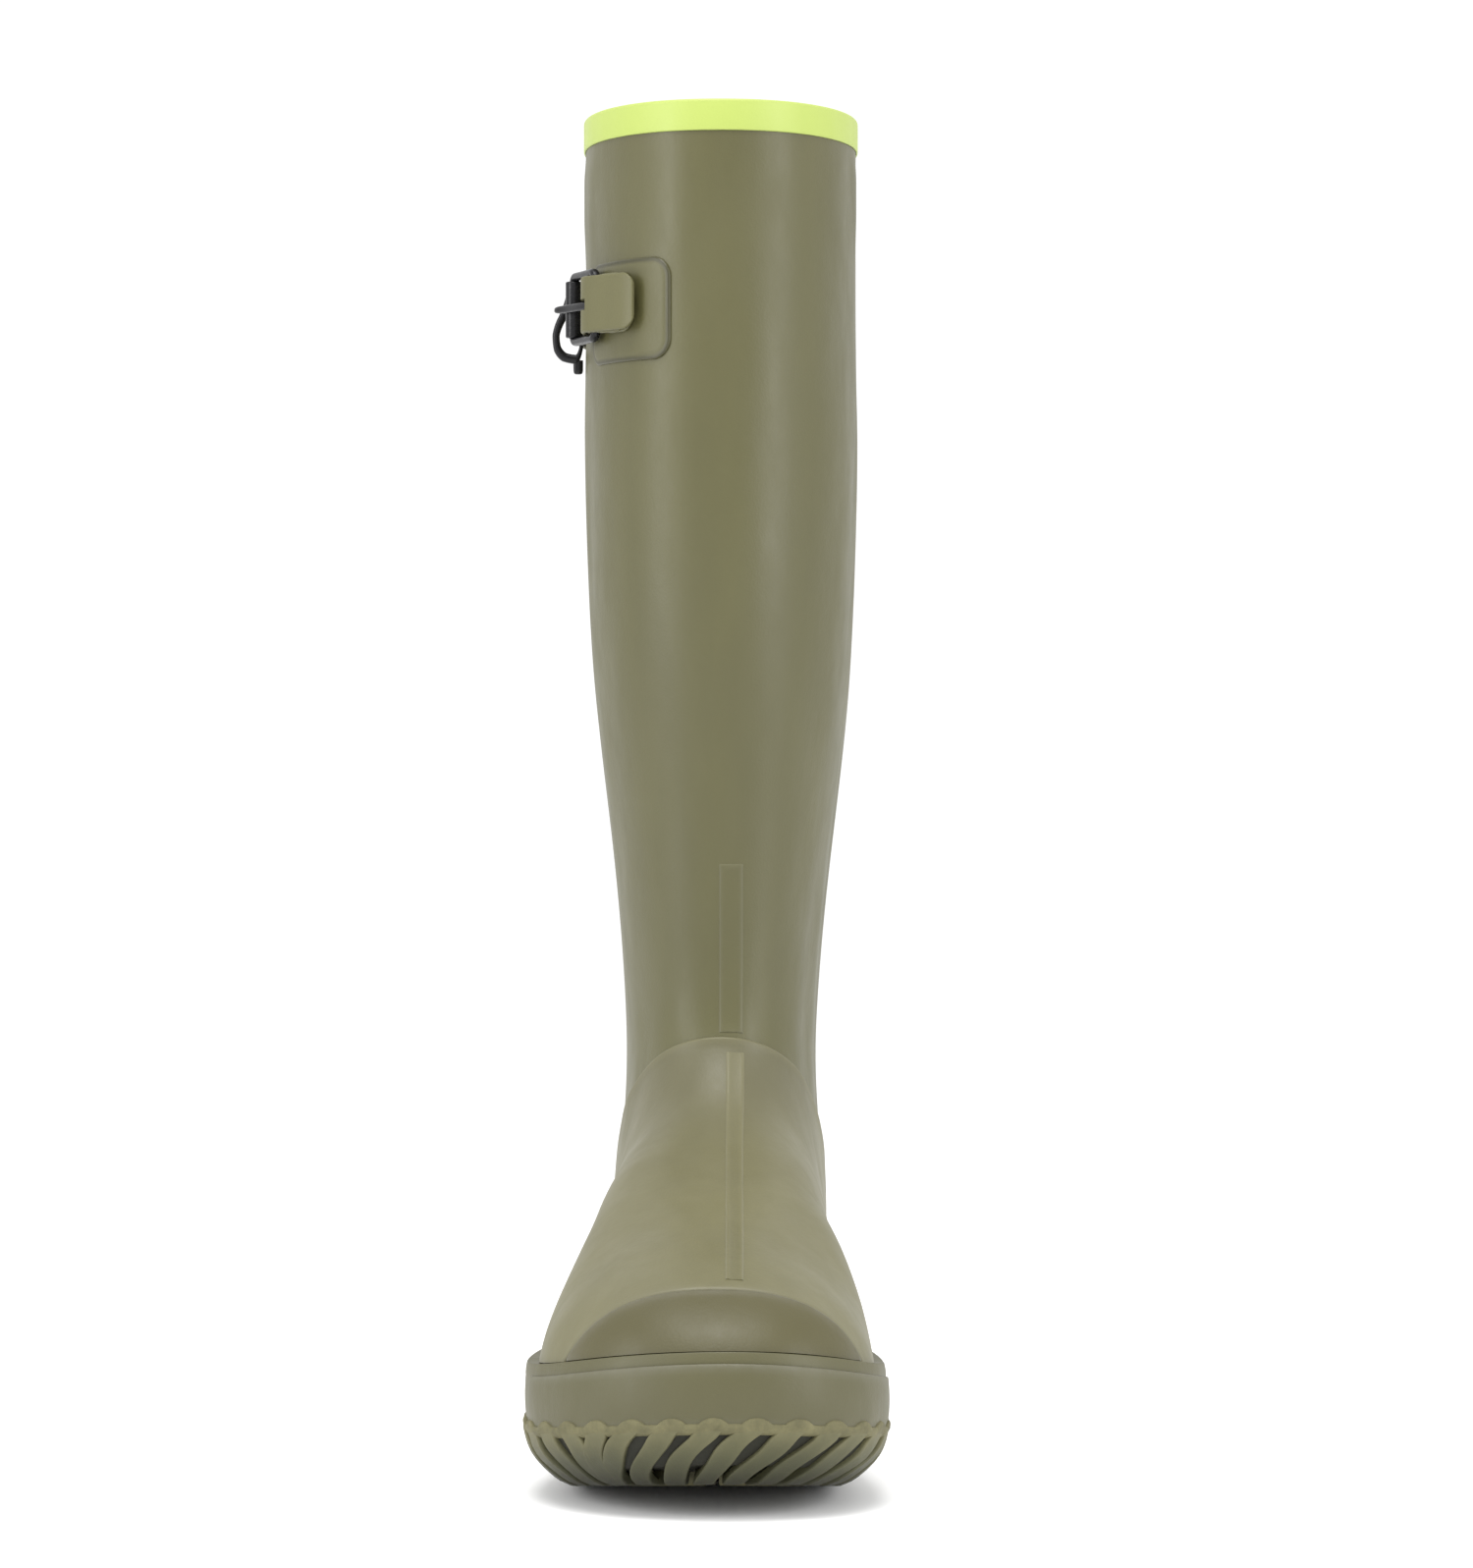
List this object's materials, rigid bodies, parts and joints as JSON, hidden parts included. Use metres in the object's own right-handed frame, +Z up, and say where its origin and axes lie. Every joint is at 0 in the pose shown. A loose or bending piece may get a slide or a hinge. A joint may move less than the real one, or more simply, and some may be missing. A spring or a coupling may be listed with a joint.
{
  "type": "rubber boot",
  "caption": "Tall insulated rubber hunting boot for the right foot, open at the top, with a lugged sole and a buckled adjusting strap.",
  "frame": {"origin": "on the ground, at the middle of the boot's bounding box", "axes": "+Z up the leg, -Y towards the toe, -X towards the outer side of the foot"},
  "size_m": [0.1162, 0.3009, 0.457],
  "materials": {
    "olive_rubber": "satin vulcanised rubber",
    "olive_vamp_rubber": "satin vulcanised rubber, slightly lighter",
    "toe_rubber": "satin rubber, smooth",
    "foxing_rubber": "satin rubber",
    "sole_rubber": "matt tread rubber",
    "lug_rubber": "matt tread rubber, darker underneath",
    "strap_rubber": "satin rubber over a woven core",
    "binding_rubber": "smooth lime green rubber",
    "black_metal": "black powder coat, semi-gloss",
    "roller_metal": "black enamel, worn",
    "shank_steel": "plain spring steel",
    "insulation_foam": "closed cell foam",
    "lining_fabric": "knitted lining",
    "stiffener_board": "thermoplastic stiffener",
    "midsole_foam": "blown rubber",
    "insole_fibre": "pressed fibre board",
    "footbed_foam": "moulded foam",
    "footbed_fabric": "brushed fabric"
  },
  "bodies": {
    "root": {"rubber_upper": "olive_rubber", "back_stay": "olive_rubber", "shin_strip": "olive_rubber", "heel_counter": "olive_rubber", "heel_kick": "foxing_rubber", "front_strap_patch": "olive_rubber", "rear_strap_patch": "olive_rubber", "vamp_overlay": "olive_vamp_rubber", "vamp_ridge": "olive_vamp_rubber", "toe_cap": "toe_rubber", "foxing_band": "foxing_rubber", "toe_bumper": "foxing_rubber", "outsole": "sole_rubber", "forefoot_lugs": "lug_rubber", "heel_lugs": "lug_rubber", "buckle_chape": "strap_rubber", "adjusting_strap": "strap_rubber", "top_binding": "binding_rubber", "shank": "shank_steel", "insulation_bootie": "insulation_foam", "lining_sock": "lining_fabric", "toe_stiffener": "stiffener_board", "heel_stiffener": "stiffener_board", "midsole": "midsole_foam", "insole_board": "insole_fibre", "footbed": "footbed_foam", "footbed_cover": "footbed_fabric"},
    "buckle_frame": {"buckle_frame": "black_metal"},
    "buckle_prong": {"buckle_prong": "black_metal"},
    "buckle_roller": {"buckle_roller": "roller_metal"},
    "strap_keeper": {"strap_keeper": "black_metal"}
  },
  "joints": [
    {"name": "frame_swing", "type": "hinge", "parent": "root", "child": "buckle_frame", "pos_m": [-0.03774, 0.02331, 0.3905], "axis": [0, 0, 1], "range_deg": [0, 12]},
    {"name": "prong_lift", "type": "hinge", "parent": "buckle_frame", "child": "buckle_prong", "pos_m": [-0.03774, 0.02331, 0.3905], "axis": [0, 0, 1], "range_deg": [0, 50]},
    {"name": "roller_spin", "type": "hinge", "parent": "buckle_frame", "child": "buckle_roller", "pos_m": [-0.04541, 0.044, 0.3905], "axis": [0, 0, 1], "continuous": true},
    {"name": "keeper_slide", "type": "slide", "parent": "root", "child": "strap_keeper", "axis": [-0.0123, 0.9999, 0], "range_m": [-0.001, 0.003]}
  ]
}
